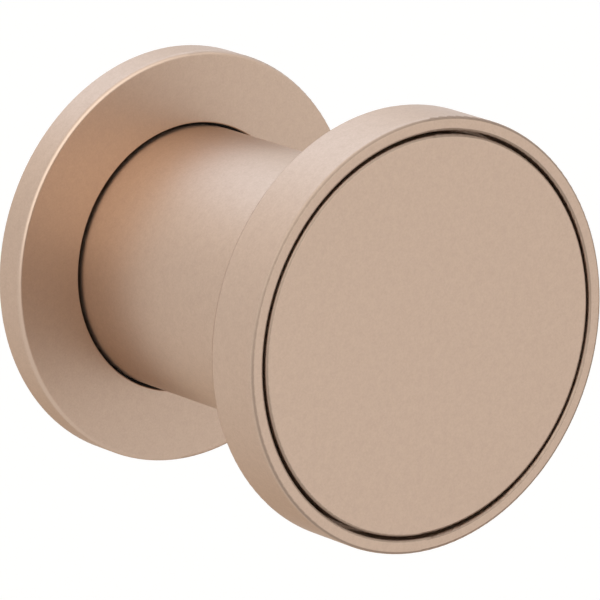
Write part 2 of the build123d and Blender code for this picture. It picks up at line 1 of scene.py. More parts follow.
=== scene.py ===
# %% [markdown]
# A wall-mounted shower mixer. Four turned metal pieces show in the room: a round rosette on the wall,
# a plain sleeve, a knob with a thin rim and a face disc that lies flush in it. A brass block and a
# ceramic cartridge hide behind them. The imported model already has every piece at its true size, so this
# lesson gives each piece its finish, models again the few that a turned solid can't show well, which are
# the screws with their threads, the foam and the rubber ring, and lights the whole like a studio picture.

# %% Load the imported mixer
from math import cos, pi, radians, sin, sqrt

import bmesh
import bpy
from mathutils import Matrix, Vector


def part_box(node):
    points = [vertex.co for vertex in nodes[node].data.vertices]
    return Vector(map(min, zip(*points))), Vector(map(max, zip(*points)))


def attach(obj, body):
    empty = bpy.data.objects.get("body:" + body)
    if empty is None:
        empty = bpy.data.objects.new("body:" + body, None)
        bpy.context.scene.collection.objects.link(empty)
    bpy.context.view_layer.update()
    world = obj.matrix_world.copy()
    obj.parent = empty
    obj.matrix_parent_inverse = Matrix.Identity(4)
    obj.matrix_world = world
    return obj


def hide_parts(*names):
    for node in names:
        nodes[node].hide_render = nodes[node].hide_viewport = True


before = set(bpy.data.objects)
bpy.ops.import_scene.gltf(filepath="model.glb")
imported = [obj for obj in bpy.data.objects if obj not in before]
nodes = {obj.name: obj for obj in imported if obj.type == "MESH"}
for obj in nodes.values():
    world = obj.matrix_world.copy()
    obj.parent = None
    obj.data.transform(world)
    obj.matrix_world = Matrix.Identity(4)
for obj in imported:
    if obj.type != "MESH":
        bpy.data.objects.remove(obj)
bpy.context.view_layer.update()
MM = 0.001

# %% [markdown]
# The camera stands in front of the wall, to the left of the mixer and a little above it, far away
# behind a long lens, so the two discs keep nearly the same width. Its direction is an azimuth round the
# mixer and an elevation above it, and its place is worked out from those angles.

# %% Place the camera
CAMERA_AZIMUTH = radians(-37.92)
CAMERA_ELEVATION = radians(14.98)
CAMERA_DISTANCE = 1.34430
CAMERA_RIGHT = 0.02351
CAMERA_UP = -0.008905
LENS_MM = 448.85
SENSOR_MM = 36.0

towards_camera = Vector((
    sin(CAMERA_AZIMUTH) * cos(CAMERA_ELEVATION),
    -cos(CAMERA_AZIMUTH) * cos(CAMERA_ELEVATION),
    sin(CAMERA_ELEVATION)))
right = Vector((0, 0, 1)).cross(towards_camera).normalized()
up = towards_camera.cross(right)

lens = bpy.data.cameras.new("camera")
lens.lens = LENS_MM
lens.sensor_width = SENSOR_MM
lens.clip_start = 0.01
lens.clip_end = 50.0
camera = bpy.data.objects.new("camera", lens)
camera.location = CAMERA_RIGHT * right + CAMERA_UP * up + CAMERA_DISTANCE * towards_camera
camera.rotation_euler = towards_camera.to_track_quat("Z", "Y").to_euler()
bpy.context.scene.collection.objects.link(camera)
bpy.context.scene.camera = camera
print("camera at", [round(value, 4) for value in camera.location])

# %% [markdown]
# A material is a small network of shader nodes. These helpers start one, add a node and join two
# sockets, so that each finish below reads as a short list of what feeds what. A value may be a plain
# number or the output of another node, and `feed` takes either. A noise keeps close to 0.5, so two ranges
# are named that hold nearly all of its values.

# %% Helpers for networks of nodes
NOISE_WIDE = (0.3, 0.7)
NOISE_NARROW = (0.35, 0.65)


def start_material(name):
    """A new material with its Principled shader, ready for more nodes."""
    material = bpy.data.materials.new(name)
    material.use_nodes = True
    tree = material.node_tree
    return material, tree, tree.nodes["Principled BSDF"]


def add_node(tree, kind, **settings):
    """A node of one kind, with its settings."""
    node = tree.nodes.new(kind)
    for key, value in settings.items():
        setattr(node, key, value)
    return node


def feed(tree, value, socket):
    """Gives a socket a number or a colour, or the output of another node."""
    if isinstance(value, bpy.types.NodeSocket):
        tree.links.new(value, socket)
    else:
        socket.default_value = value


def maths(tree, operation, first, second=None):
    """A Math node on two values. Returns its output."""
    node = add_node(tree, "ShaderNodeMath", operation=operation)
    feed(tree, first, node.inputs[0])
    if second is not None:
        feed(tree, second, node.inputs[1])
    return node.outputs[0]


def carry(tree, value, start, stop, low, high):
    """Carries a value from the range start to stop over to the range low to high."""
    node = add_node(tree, "ShaderNodeMapRange")
    for label, given in (("Value", value), ("From Min", start), ("From Max", stop),
                         ("To Min", low), ("To Max", high)):
        feed(tree, given, node.inputs[label])
    return node.outputs["Result"]


def blend(tree, share, first, second):
    """A colour between two colours, by a share from 0 to 1."""
    node = add_node(tree, "ShaderNodeMix", data_type="RGBA")
    feed(tree, share, node.inputs[0])
    feed(tree, first, node.inputs[6])
    feed(tree, second, node.inputs[7])
    return node.outputs[2]


def noise(tree, place, scale, detail, roughness):
    """A cloudy pattern over a place, with values about 0.5."""
    node = add_node(tree, "ShaderNodeTexNoise")
    feed(tree, place, node.inputs["Vector"])
    feed(tree, scale, node.inputs["Scale"])
    feed(tree, detail, node.inputs["Detail"])
    feed(tree, roughness, node.inputs["Roughness"])
    return node.outputs["Fac"]


def place_of(tree):
    """The place of a point on the mixer, in metres, the same whichever way the camera looks."""
    return add_node(tree, "ShaderNodeTexCoord").outputs["Object"]


def relief(tree, shader, height, depth, share):
    """Lets a height pattern tilt the light on the surface."""
    bump = add_node(tree, "ShaderNodeBump")
    bump.inputs["Strength"].default_value = share
    bump.inputs["Distance"].default_value = depth
    feed(tree, height, bump.inputs["Height"])
    feed(tree, bump.outputs["Normal"], shader.inputs["Normal"])


def grey(level):
    """A neutral colour."""
    return (level, level, level, 1)


def dress(material, *names):
    """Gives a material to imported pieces."""
    for name in names:
        mesh = nodes[name].data
        mesh.materials.clear()
        mesh.materials.append(material)
    print(material.name, "on", ", ".join(names))


# %% [markdown]
# Several finishes share an effect: the tiny pits of blasting, the rings that a cutting tool leaves, the
# skin of a plastic mould and the cloudy stain of handling. Each effect is a node group that is built
# once and placed in each material with its own values. A group gives only numbers that change over the
# surface, and the shader itself stays in the material.


# %% A helper for groups
def start_group(name, settings, results):
    """A node group that takes a place and some numbers, and gives some numbers."""
    group = bpy.data.node_groups.new(name, "ShaderNodeTree")
    group.interface.new_socket("Place", in_out="INPUT", socket_type="NodeSocketVector")
    for label, value in settings.items():
        socket = group.interface.new_socket(label, in_out="INPUT", socket_type="NodeSocketFloat")
        socket.default_value = value
    for label in results:
        group.interface.new_socket(label, in_out="OUTPUT", socket_type="NodeSocketFloat")
    given = add_node(group, "NodeGroupInput").outputs
    result = add_node(group, "NodeGroupOutput").inputs
    return group, given, result


def effect(tree, group, place, **settings):
    """Places a group in a material, with its own values. Returns its outputs."""
    node = add_node(tree, "ShaderNodeGroup", node_tree=group)
    feed(tree, place, node.inputs["Place"])
    for label, value in settings.items():
        node.inputs[label.replace("_", " ").capitalize()].default_value = value
    return node.outputs


# %% [markdown]
# Blasting throws fine grit at the metal and leaves pits of a few tenths of a millimetre that touch one
# another. Two noises at different sizes give it: fine pits, and looser clusters where the grit hit
# harder. A picture of a blasted sheet could be laid on too, but it would need unwrapping, and noise in
# metres keeps the same grain on every piece.

# %% Blasted grain
PITS_PER_METRE = 2600.0
CLUSTERS_PER_METRE = 700.0
PIT_SHARE = 0.65

blasted_grain, given, result = start_group(
    "blasted_grain", {"Pits per metre": PITS_PER_METRE, "Clusters per metre": CLUSTERS_PER_METRE},
    ("Tone", "Height"))
pits = noise(blasted_grain, given["Place"], given["Pits per metre"], 2.0, 0.6)
clusters = noise(blasted_grain, given["Place"], given["Clusters per metre"], 2.0, 0.5)
fine = maths(blasted_grain, "MULTIPLY", pits, PIT_SHARE)
loose = maths(blasted_grain, "MULTIPLY", clusters, 1 - PIT_SHARE)
feed(blasted_grain, maths(blasted_grain, "ADD", fine, loose), result["Tone"])
feed(blasted_grain, pits, result["Height"])
print(blasted_grain.name, "gives", [socket.name for socket in result if socket.name])

# %% [markdown]
# A lathe leaves rings round the axis: circles on a face, and hoops along a side. The distance from the
# axis and the distance along it are put together as a flat place, and a noise read there is the same all
# round the axis, which is just what a turned mark is.

# %% Turning marks
RINGS_PER_METRE = 4200.0

turning_marks, given, result = start_group(
    "turning_marks", {"Rings per metre": RINGS_PER_METRE}, ("Tone", "Height"))
parts = add_node(turning_marks, "ShaderNodeSeparateXYZ")
feed(turning_marks, given["Place"], parts.inputs[0])
squares = [maths(turning_marks, "MULTIPLY", parts.outputs[axis], parts.outputs[axis]) for axis in "XZ"]
from_axis = maths(turning_marks, "SQRT", maths(turning_marks, "ADD", *squares))
flat = add_node(turning_marks, "ShaderNodeCombineXYZ")
feed(turning_marks, from_axis, flat.inputs["X"])
feed(turning_marks, parts.outputs["Y"], flat.inputs["Y"])
rings = noise(turning_marks, flat.outputs[0], given["Rings per metre"], 3.0, 0.6)
feed(turning_marks, rings, result["Tone"])
feed(turning_marks, rings, result["Height"])
print(turning_marks.name, "reads", RINGS_PER_METRE, "rings a metre")

# %% [markdown]
# A plastic mould is finished by sparks, which leave a fine even skin on every piece. Larger, very weak
# clouds stand for the places where the plastic cooled and sank a little.

# %% Moulded skin
moulded_skin, given, result = start_group(
    "moulded_skin", {"Grains per metre": 3200.0, "Clouds per metre": 160.0}, ("Tone", "Height"))
grains = noise(moulded_skin, given["Place"], given["Grains per metre"], 1.0, 0.5)
clouds = noise(moulded_skin, given["Place"], given["Clouds per metre"], 2.0, 0.5)
feed(moulded_skin, clouds, result["Tone"])
feed(moulded_skin, grains, result["Height"])
print(moulded_skin.name, "gives", [socket.name for socket in result if socket.name])

# %% [markdown]
# Brass, steel and rubber take on stains where water and fingers have been. A cloudy noise, cut so that
# only its peaks remain, gives soft patches with clean metal between them.

# %% Handling stains
STAIN_SOFTNESS = 0.18

stains, given, result = start_group(
    "stains", {"Patches per metre": 220.0, "Share": 0.5}, ("Mask",))
patches = noise(stains, given["Place"], given["Patches per metre"], 5.0, 0.6)
edge = maths(stains, "SUBTRACT", 1.0, given["Share"])
full = maths(stains, "ADD", edge, STAIN_SOFTNESS)
feed(stains, carry(stains, patches, edge, full, 0.0, 1.0), result["Mask"])
print(stains.name, "gives", [socket.name for socket in result if socket.name])

# %% [markdown]
# The four pieces that show are blasted and then coated in a warm rose bronze. The coat is metal through
# and through, so it has no colour of its own beneath a gloss: all that shows is the room, blurred by the
# grain and tinted by the metal. The colour and the roughness move a little with the pits. A polished metal
# turns pale where it is seen at a slant, and a blasted coat hardly does, so the edge tint stays warm.
#
# The rounded edges of the knob and of its disc are painted darker than the flats, which is painted shade
# that keeps bright highlight lines off those edges, and they are made a little rougher. The edges on the
# wall keep the plain colour. Every flat of these pieces looks along the axis and every side looks away
# from it, so a surface that looks in between is an edge. The knob gets a material of its own for that.

# %% Satin rose bronze
SATIN_COLOUR = (0.520, 0.386, 0.300)
SATIN_EDGE = (0.60, 0.50, 0.42, 1)
SATIN_ROUGHNESS = 0.38
TONE_SWING = 0.045
ROUGHNESS_SWING = 0.04
PIT_DEPTH = 0.02 * MM
# Share of the colour left on the knob's rounded edges: painted shade.
EDGE_PAINTED_SHADE = 0.60
EDGE_ROUGHENS = 0.5
SIDE_TO_EDGE = (0.35, 0.80)
EDGE_TO_FLAT = (0.95, 0.998)


def along_axis(tree):
    """1 where a surface looks along the mixer's axis, and 0 where it looks away from the axis."""
    direction = add_node(tree, "ShaderNodeSeparateXYZ")
    feed(tree, add_node(tree, "ShaderNodeNewGeometry").outputs["Normal"], direction.inputs[0])
    return maths(tree, "ABSOLUTE", direction.outputs["Y"])


def satin_metal(name, colour, roughness, edge_shade):
    """A blasted and coated metal, with painted shade that darkens its rounded edges to a share of its
    colour.
    """
    material, tree, shader = start_material(name)
    grain = effect(tree, blasted_grain, place_of(tree))
    tone = carry(tree, grain["Tone"], *NOISE_NARROW, 0.0, 1.0)
    # The colour on rounded edges is painted shade, a share of the colour that keeps highlights off the
    # edges.
    pit, crest, painted_edge_shade = ((*(value * share for value in colour), 1)
                        for share in (1 - TONE_SWING, 1 + TONE_SWING, edge_shade))
    axial = along_axis(tree)
    rounded = maths(tree, "MULTIPLY", carry(tree, axial, *SIDE_TO_EDGE, 0.0, 1.0),
                    carry(tree, axial, *EDGE_TO_FLAT, 1.0, 0.0))
    feed(tree, blend(tree, rounded, blend(tree, tone, pit, crest), painted_edge_shade), shader.inputs["Base Color"])
    rough = carry(tree, grain["Tone"], *NOISE_WIDE,
                  roughness + ROUGHNESS_SWING, roughness - ROUGHNESS_SWING)
    rougher = maths(tree, "MULTIPLY", rounded, EDGE_ROUGHENS * (1 - edge_shade))
    feed(tree, maths(tree, "ADD", rough, rougher), shader.inputs["Roughness"])
    shader.inputs["Metallic"].default_value = 1
    shader.inputs["Specular Tint"].default_value = SATIN_EDGE
    relief(tree, shader, grain["Height"], PIT_DEPTH, 0.35)
    return material


satin = satin_metal("satin_rose_bronze", SATIN_COLOUR, SATIN_ROUGHNESS, edge_shade=1.0)
dress(satin, "rosette", "sleeve")
# The knob and its disc get painted shade on their rounded edges.
edge_shaded_satin = satin_metal("satin_rose_bronze_edge_shaded", SATIN_COLOUR, SATIN_ROUGHNESS, edge_shade=EDGE_PAINTED_SHADE)
dress(edge_shaded_satin, "knob_body", "face_disc")

# %% [markdown]
# The block, the nut and the spindle are bare brass, turned from bar and never plated, because nobody sees
# them. Rings of the tool show in the relief, and stains darken the brass towards brown in soft patches.

# %% Bare brass
BRASS_CLEAN = (0.60, 0.44, 0.22, 1)
BRASS_STAINED = (0.38, 0.25, 0.12, 1)
BRASS_MARK_DEPTH = 0.03 * MM
STAIN_STRENGTH = 0.45
STAIN_ROUGHENS = 0.12
MARK_SWING = 0.06


def turned_metal(name, clean, stained, roughness, ring_depth):
    """A bare metal with tool marks and stains."""
    material, tree, shader = start_material(name)
    place = place_of(tree)
    marks = effect(tree, turning_marks, place)
    patch = effect(tree, stains, place, patches_per_metre=190.0, share=0.5)["Mask"]
    weak = maths(tree, "MULTIPLY", patch, STAIN_STRENGTH)
    feed(tree, blend(tree, weak, clean, stained), shader.inputs["Base Color"])
    rough = carry(tree, marks["Tone"], *NOISE_WIDE, roughness - MARK_SWING, roughness + MARK_SWING)
    rougher = maths(tree, "MULTIPLY", patch, STAIN_ROUGHENS)
    feed(tree, maths(tree, "ADD", rough, rougher), shader.inputs["Roughness"])
    shader.inputs["Metallic"].default_value = 1
    relief(tree, shader, marks["Height"], ring_depth, 0.5)
    return material


brass = turned_metal("bare_brass", BRASS_CLEAN, BRASS_STAINED, roughness=0.34,
                     ring_depth=BRASS_MARK_DEPTH)
dress(brass, "function_block", "retaining_nut", "spindle")

# %% [markdown]
# Screws, washers and filters are stainless steel. It is the same kind of surface as the brass, so the
# same function makes it, with a cooler colour, a finer mark and stains that are only a little darker.

# %% Stainless steel
STEEL_CLEAN = (0.56, 0.55, 0.53, 1)
STEEL_STAINED = (0.38, 0.36, 0.33, 1)
STEEL_MARK_DEPTH = 0.012 * MM

steel = turned_metal("stainless_steel", STEEL_CLEAN, STEEL_STAINED, roughness=0.28,
                     ring_depth=STEEL_MARK_DEPTH)
dress(steel, "fixing_screws", "inlet_filters", "knob_screw", "knob_screw_washer")

# %% [markdown]
# Rubber rings come out of a mould with a matt skin, and a pale bloom of powder lies on them in patches.
# The bloom is weak, so that the rings still read as black lines from a step away.

# %% Black rubber
RUBBER_DARK = (0.010, 0.009, 0.009, 1)
RUBBER_BLOOM = (0.035, 0.033, 0.031, 1)
BLOOM_STRENGTH = 0.6
RUBBER_ROUGHNESS = (0.52, 0.72)
RUBBER_SKIN_DEPTH = 0.02 * MM


def rubber(name, dark, bloom):
    """A matt rubber with a powdery bloom."""
    material, tree, shader = start_material(name)
    place = place_of(tree)
    powder = effect(tree, stains, place, patches_per_metre=420.0, share=0.48)["Mask"]
    skin = effect(tree, moulded_skin, place, grains_per_metre=4200.0)
    weak = maths(tree, "MULTIPLY", powder, BLOOM_STRENGTH)
    feed(tree, blend(tree, weak, dark, bloom), shader.inputs["Base Color"])
    feed(tree, carry(tree, skin["Height"], *NOISE_WIDE, *RUBBER_ROUGHNESS), shader.inputs["Roughness"])
    shader.inputs["Specular IOR Level"].default_value = 0.3
    relief(tree, shader, skin["Height"], RUBBER_SKIN_DEPTH, 0.4)
    return material


black_rubber = rubber("ring_rubber", RUBBER_DARK, RUBBER_BLOOM)
dress(black_rubber, "base_gasket", "disc_gasket", "rosette_o_ring", "sleeve_o_rings", "spindle_o_rings",
      "face_disc_o_ring")

# %% [markdown]
# The plastics share the moulded skin. The white one is an acetal that slides well, with a faint cream
# cloud. The grey one is nylon full of short glass fibres, which show as pale flecks drawn out along the
# flow. The red one carries the stops of the turning range, so a fitter can find it.

# %% Moulded plastics
WHITE_DEEP, WHITE_PALE = (0.70, 0.68, 0.62, 1), (0.78, 0.77, 0.73, 1)
GREY_DEEP, GREY_PALE = (0.070, 0.073, 0.078, 1), (0.098, 0.101, 0.106, 1)
RED_DEEP, RED_PALE = (0.34, 0.016, 0.012, 1), (0.43, 0.026, 0.018, 1)
FIBRES_PER_METRE = 3600.0
FIBRE_STRETCH = 0.22
FIBRE_PEAKS = (0.58, 0.70)
FIBRE_COLOUR = grey(0.35)
PLASTIC_SWING = 0.05
PLASTIC_SKIN_DEPTH = 0.015 * MM


def plastic(name, deep, pale, roughness, specks=0.0):
    """A moulded plastic, plain or with pale glass flecks."""
    material, tree, shader = start_material(name)
    place = place_of(tree)
    skin = effect(tree, moulded_skin, place)
    colour = blend(tree, carry(tree, skin["Tone"], *NOISE_NARROW, 0.0, 1.0), deep, pale)
    if specks:
        drawn = add_node(tree, "ShaderNodeMapping")
        drawn.inputs["Scale"].default_value = (1.0, FIBRE_STRETCH, 1.0)
        feed(tree, place, drawn.inputs["Vector"])
        fibres = noise(tree, drawn.outputs[0], FIBRES_PER_METRE, 1.0, 0.5)
        shown = carry(tree, fibres, *FIBRE_PEAKS, 0.0, specks)
        colour = blend(tree, shown, colour, FIBRE_COLOUR)
    feed(tree, colour, shader.inputs["Base Color"])
    rough = carry(tree, skin["Height"], *NOISE_WIDE,
                  roughness - PLASTIC_SWING, roughness + PLASTIC_SWING)
    feed(tree, rough, shader.inputs["Roughness"])
    relief(tree, shader, skin["Height"], PLASTIC_SKIN_DEPTH, 0.35)
    return material


white_plastic = plastic("white_acetal", WHITE_DEEP, WHITE_PALE, roughness=0.42)
dress(white_plastic, "guide_bush", "glide_washer", "disc_carrier", "spline_adaptor")
grey_plastic = plastic("grey_glass_nylon", GREY_DEEP, GREY_PALE, roughness=0.5, specks=0.35)
dress(grey_plastic, "cartridge_base", "cartridge_housing")
red_plastic = plastic("red_acetal", RED_DEEP, RED_PALE, roughness=0.4)
dress(red_plastic, "temperature_limit_ring")

# %% [markdown]
# The two discs of the cartridge are alumina. Their working faces are lapped until they shine and seal on
# a film of water, while the rims stay as they left the kiln. The faces look along the mixer's axis, so
# the surface direction tells the two apart.

# %% Lapped ceramic
FIRED_ROUGHNESS = 0.45
LAPPED_ROUGHNESS = 0.08
RIM_TO_FACE = (0.95, 0.99)
CERAMIC_PALE = (0.80, 0.78, 0.72, 1)
CERAMIC_SPECK = (0.66, 0.62, 0.55, 1)

ceramic, tree, shader = start_material("lapped_ceramic")
place = place_of(tree)
rough = carry(tree, along_axis(tree), *RIM_TO_FACE, FIRED_ROUGHNESS, LAPPED_ROUGHNESS)
specks = effect(tree, stains, place, patches_per_metre=1800.0, share=0.4)["Mask"]
weak = maths(tree, "MULTIPLY", specks, 0.5)
feed(tree, blend(tree, weak, CERAMIC_PALE, CERAMIC_SPECK), shader.inputs["Base Color"])
feed(tree, rough, shader.inputs["Roughness"])
dress(ceramic, "fixed_ceramic_disc", "moving_ceramic_disc")

# %% [markdown]
# New pieces are modelled as by hand, in edit mode. `fresh` lets go of everything that is selected, since
# an operator acts on all of it. `pick` selects vertices, edges or faces by a test. `finish` writes an
# object's place into its mesh, gives it its finish and hangs it on a body of the mixer.

# %% Helpers for modelling
MERGE_DISTANCE = 0.002 * MM
TINY = 0.001 * MM


def fresh():
    """Leaves edit mode and lets go of everything."""
    if bpy.context.object and bpy.context.object.mode != "OBJECT":
        bpy.ops.object.mode_set(mode="OBJECT")
    bpy.ops.object.select_all(action="DESELECT")


def edit(piece):
    """Opens one piece in edit mode, with nothing selected in it."""
    fresh()
    piece.select_set(True)
    bpy.context.view_layer.objects.active = piece
    bpy.ops.object.mode_set(mode="EDIT")
    bpy.ops.mesh.select_mode(type="VERT")
    bpy.ops.mesh.select_all(action="DESELECT")


def pick(kind, test):
    """Selects what passes the test in the open piece: "verts", "edges" or "faces"."""
    bpy.ops.mesh.select_mode(type={"verts": "VERT", "edges": "EDGE", "faces": "FACE"}[kind])
    mesh = bmesh.from_edit_mesh(bpy.context.object.data)
    for element in getattr(mesh, kind):
        element.select_set(test(element))
    mesh.select_flush_mode()
    bmesh.update_edit_mesh(bpy.context.object.data)


def clean(piece):
    """Merges doubled points and turns all faces outwards."""
    edit(piece)
    bpy.ops.mesh.select_all(action="SELECT")
    bpy.ops.mesh.remove_doubles(threshold=MERGE_DISTANCE)
    bpy.ops.mesh.normals_make_consistent(inside=False)
    fresh()


def apply_modifier(piece, kind, **settings):
    """Adds a modifier and applies it."""
    fresh()
    piece.select_set(True)
    bpy.context.view_layer.objects.active = piece
    modifier = piece.modifiers.new(kind.lower(), kind)
    for key, value in settings.items():
        setattr(modifier, key, value)
    bpy.ops.object.modifier_apply(modifier=modifier.name)


def settle(piece):
    """Writes the object's place, turn and size into its mesh."""
    fresh()
    piece.select_set(True)
    bpy.context.view_layer.objects.active = piece
    bpy.ops.object.transform_apply(location=True, rotation=True, scale=True)


def finish(piece, name, body, slot, material, *replaced, angle=30):
    """Names a finished piece, gives it its finish and hangs it on its body."""
    settle(piece)
    bpy.ops.object.shade_smooth_by_angle(angle=radians(angle))
    fresh()
    piece.name = name
    piece.data.name = name
    piece.data.materials.clear()
    piece.data.materials.append(material)
    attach(piece, body)
    if replaced:
        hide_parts(*replaced)
    print(name, "has", len(piece.data.polygons), "faces")


# %% [markdown]
# A lathe turns a half section round an axis, and so does the spin tool. `turned` starts from a plane,
# merges it to one point, carries that point along the half section by extruding it, and spins the line
# round the mixer's axis. The section is a list of (radius, depth) in millimetres, with the depth measured
# out of the wall.


# %% A helper that turns a section
def turned(section, steps, closed=True):
    """A piece turned round the mixer's axis from a half section."""
    fresh()
    start = Vector((section[0][0], -section[0][1], 0)) * MM
    bpy.ops.mesh.primitive_plane_add(size=MM, location=start)
    piece = bpy.context.object
    settle(piece)
    edit(piece)
    bpy.ops.mesh.select_all(action="SELECT")
    bpy.ops.mesh.merge(type="CENTER")
    path = section[1:] + section[:1] if closed else section[1:]
    here = section[0]
    for radius, depth in path:
        step = ((radius - here[0]) * MM, (here[1] - depth) * MM, 0)
        bpy.ops.mesh.extrude_region_move(TRANSFORM_OT_translate={"value": step})
        here = (radius, depth)
    bpy.ops.mesh.select_all(action="SELECT")
    bpy.ops.mesh.spin(steps=steps, angle=2 * pi, center=(0, 0, 0), axis=(0, 1, 0))
    clean(piece)
    return piece


# %% [markdown]
# The foam gasket lies between the rosette and the wall and keeps water out. It is cut from a sheet of
# closed-cell foam, and the rosette squeezes it, so its walls bulge a little and its corners draw in. A
# turned ring with a soft section gives that, and the cut cells are relief in the material. A cushion
# made by a cloth run would suit a thick pad better than a ring of four millimetres.

# %% Model the foam gasket
low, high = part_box("rosette_gasket")
GASKET_WALL = 2.0
GASKET_PLAY = 0.02
CORNER_DRAW = 0.16
SECTION_STEPS = 14
GASKET_STEPS = 160
gasket_outer = high[0] / MM
gasket_front = -low[1] / MM
middle = gasket_outer - GASKET_WALL / 2
section = []
for side in (1, -1):
    for step in range(SECTION_STEPS + 1):
        along = step / SECTION_STEPS if side > 0 else 1 - step / SECTION_STEPS
        half = GASKET_WALL / 2 - CORNER_DRAW * (2 * along - 1) ** 4
        section.append((middle + side * half, GASKET_PLAY + along * (gasket_front - 2 * GASKET_PLAY)))
gasket = turned(section, GASKET_STEPS)
print("foam gasket from", round(gasket_outer - GASKET_WALL, 2), "to", round(gasket_outer, 2), "mm")

# %% [markdown]
# Closed-cell foam is a crowd of bubbles. A Voronoi pattern splits space into cells like them: the
# distance to the nearest wall makes the relief, and each cell takes its own shade of dark grey. The cells
# are painted darker than their walls, which is painted shade in the hollows of the cut cells.

# %% Foam with cut cells
CELLS_PER_METRE = 2200.0
CELL_WALL = 0.22
CELL_DEPTH = 0.12 * MM
CELL_SHADE_DEEP = (0.018, 0.018, 0.019, 1)
CELL_SHADE_PALE = (0.042, 0.041, 0.041, 1)
WALL_COLOUR = (0.075, 0.073, 0.072, 1)

foam, tree, shader = start_material("dark_foam")
place = place_of(tree)
walls = add_node(tree, "ShaderNodeTexVoronoi", feature="DISTANCE_TO_EDGE")
cells = add_node(tree, "ShaderNodeTexVoronoi", feature="F1")
for pattern in (walls, cells):
    feed(tree, place, pattern.inputs["Vector"])
    pattern.inputs["Scale"].default_value = CELLS_PER_METRE
wall = carry(tree, walls.outputs["Distance"], 0.0, CELL_WALL, 1.0, 0.0)
shade = add_node(tree, "ShaderNodeSeparateColor")
feed(tree, cells.outputs["Color"], shade.inputs[0])
# The cells are painted darker than the paler walls: painted shade in the hollows.
inside = blend(tree, shade.outputs[0], CELL_SHADE_DEEP, CELL_SHADE_PALE)
feed(tree, blend(tree, wall, inside, WALL_COLOUR), shader.inputs["Base Color"])
shader.inputs["Roughness"].default_value = 0.9
relief(tree, shader, wall, CELL_DEPTH, 0.6)
finish(gasket, "foam_gasket", "root", "foam", foam, "rosette_gasket", angle=50)

# %% [markdown]
# The ring in the hole of the rosette grips the sleeve and is the dark line that shows round it. It is an
# O-ring: a round cord of rubber closed to a hoop, with a thin line all round where the two halves of its
# mould met. The cord is a circle with a small ridge at its inside and outside, turned round the axis.

# %% Model the rosette ring
RING_PLAY = 0.02
MOULD_LINE = 0.02
CORD_STEPS = 32
RING_STEPS = 192
low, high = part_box("rosette_o_ring")
ring_depth = -(low[1] + high[1]) / 2 / MM
ring_outer = high[0] / MM
sleeve_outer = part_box("sleeve")[1][0] / MM
cord_r = (ring_outer - sleeve_outer) / 2 - RING_PLAY
centre_r = (ring_outer + sleeve_outer) / 2
outline = []
for step in range(CORD_STEPS):
    turn = 2 * pi * step / CORD_STEPS
    size = cord_r + (MOULD_LINE if step in (0, CORD_STEPS // 2) else 0)
    outline.append((centre_r + size * cos(turn), ring_depth + size * sin(turn)))
ring = turned(outline, RING_STEPS)
finish(ring, "rosette_ring", "root", "black_rubber", black_rubber, "rosette_o_ring", angle=60)

# %% [markdown]
# Four countersunk screws hold the block. Each has a cone head with a hexagon recess and a rolled M4
# thread that stands out behind the wall plane. The head is turned from a half section, and its recess is
# a hexagon taken away with a boolean. The thread could be drawn as rings, but real threads climb, so a
# small blunt V is swept by the Screw modifier, one pitch a turn. It is then cut square at both ends and
# given its point by a boolean with a tapered rod.

# %% Sizes of the screw
CIRCLE_R = 27.0
HEAD_R = 3.8
HEAD_BREAK = 0.12
SHANK_R = 2.0
SHANK_BACK = -0.6
NECK_R = SHANK_R + 0.05
NECK_LENGTH = 0.1
HEX_ACROSS = 2.5
HEX_DEPTH = 1.2
DRILL_INSET = 0.35
DRILL_POINT = 0.3
HEAD_STEPS = 64
THREAD_CREST = 1.97
THREAD_ROOT = 1.62
PITCH = 0.7
TURNS = 17
low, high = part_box("fixing_screws")
head_front = -low[1] / MM
point = -high[1] / MM
cone_back = head_front - (HEAD_R - SHANK_R)
print("screw from depth", round(point, 2), "to", round(head_front, 2), "mm")

# %% Model the head and the shank
head = turned([(0, head_front), (HEAD_R - HEAD_BREAK, head_front), (HEAD_R, head_front - HEAD_BREAK),
               (NECK_R, cone_back), (SHANK_R, cone_back - NECK_LENGTH), (SHANK_R, SHANK_BACK),
               (0, SHANK_BACK)], HEAD_STEPS, closed=False)
fresh()
bpy.ops.mesh.primitive_cylinder_add(
    vertices=6, radius=HEX_ACROSS / sqrt(3) * MM, depth=2 * HEX_DEPTH * MM,
    location=(0, -head_front * MM, 0), rotation=(pi / 2, 0, 0))
recess = bpy.context.object
settle(recess)
edit(recess)
pick("faces", lambda face: face.normal.y > 0.9)
bpy.ops.mesh.inset(thickness=DRILL_INSET * MM, depth=0)
bpy.ops.transform.translate(value=(0, DRILL_POINT * MM, 0))
bpy.ops.mesh.merge(type="CENTER")
fresh()
apply_modifier(head, "BOOLEAN", operation="DIFFERENCE", solver="EXACT", object=recess)
bpy.data.objects.remove(recess)
print("head with its recess:", len(head.data.polygons), "faces")

# %% Sweep the thread
FLAT = 0.12 * PITCH
FLANK = 0.32 * PITCH
THREAD_HEIGHT = THREAD_CREST - THREAD_ROOT
THREAD_FRONT = -0.4
THREAD_STEPS = 40

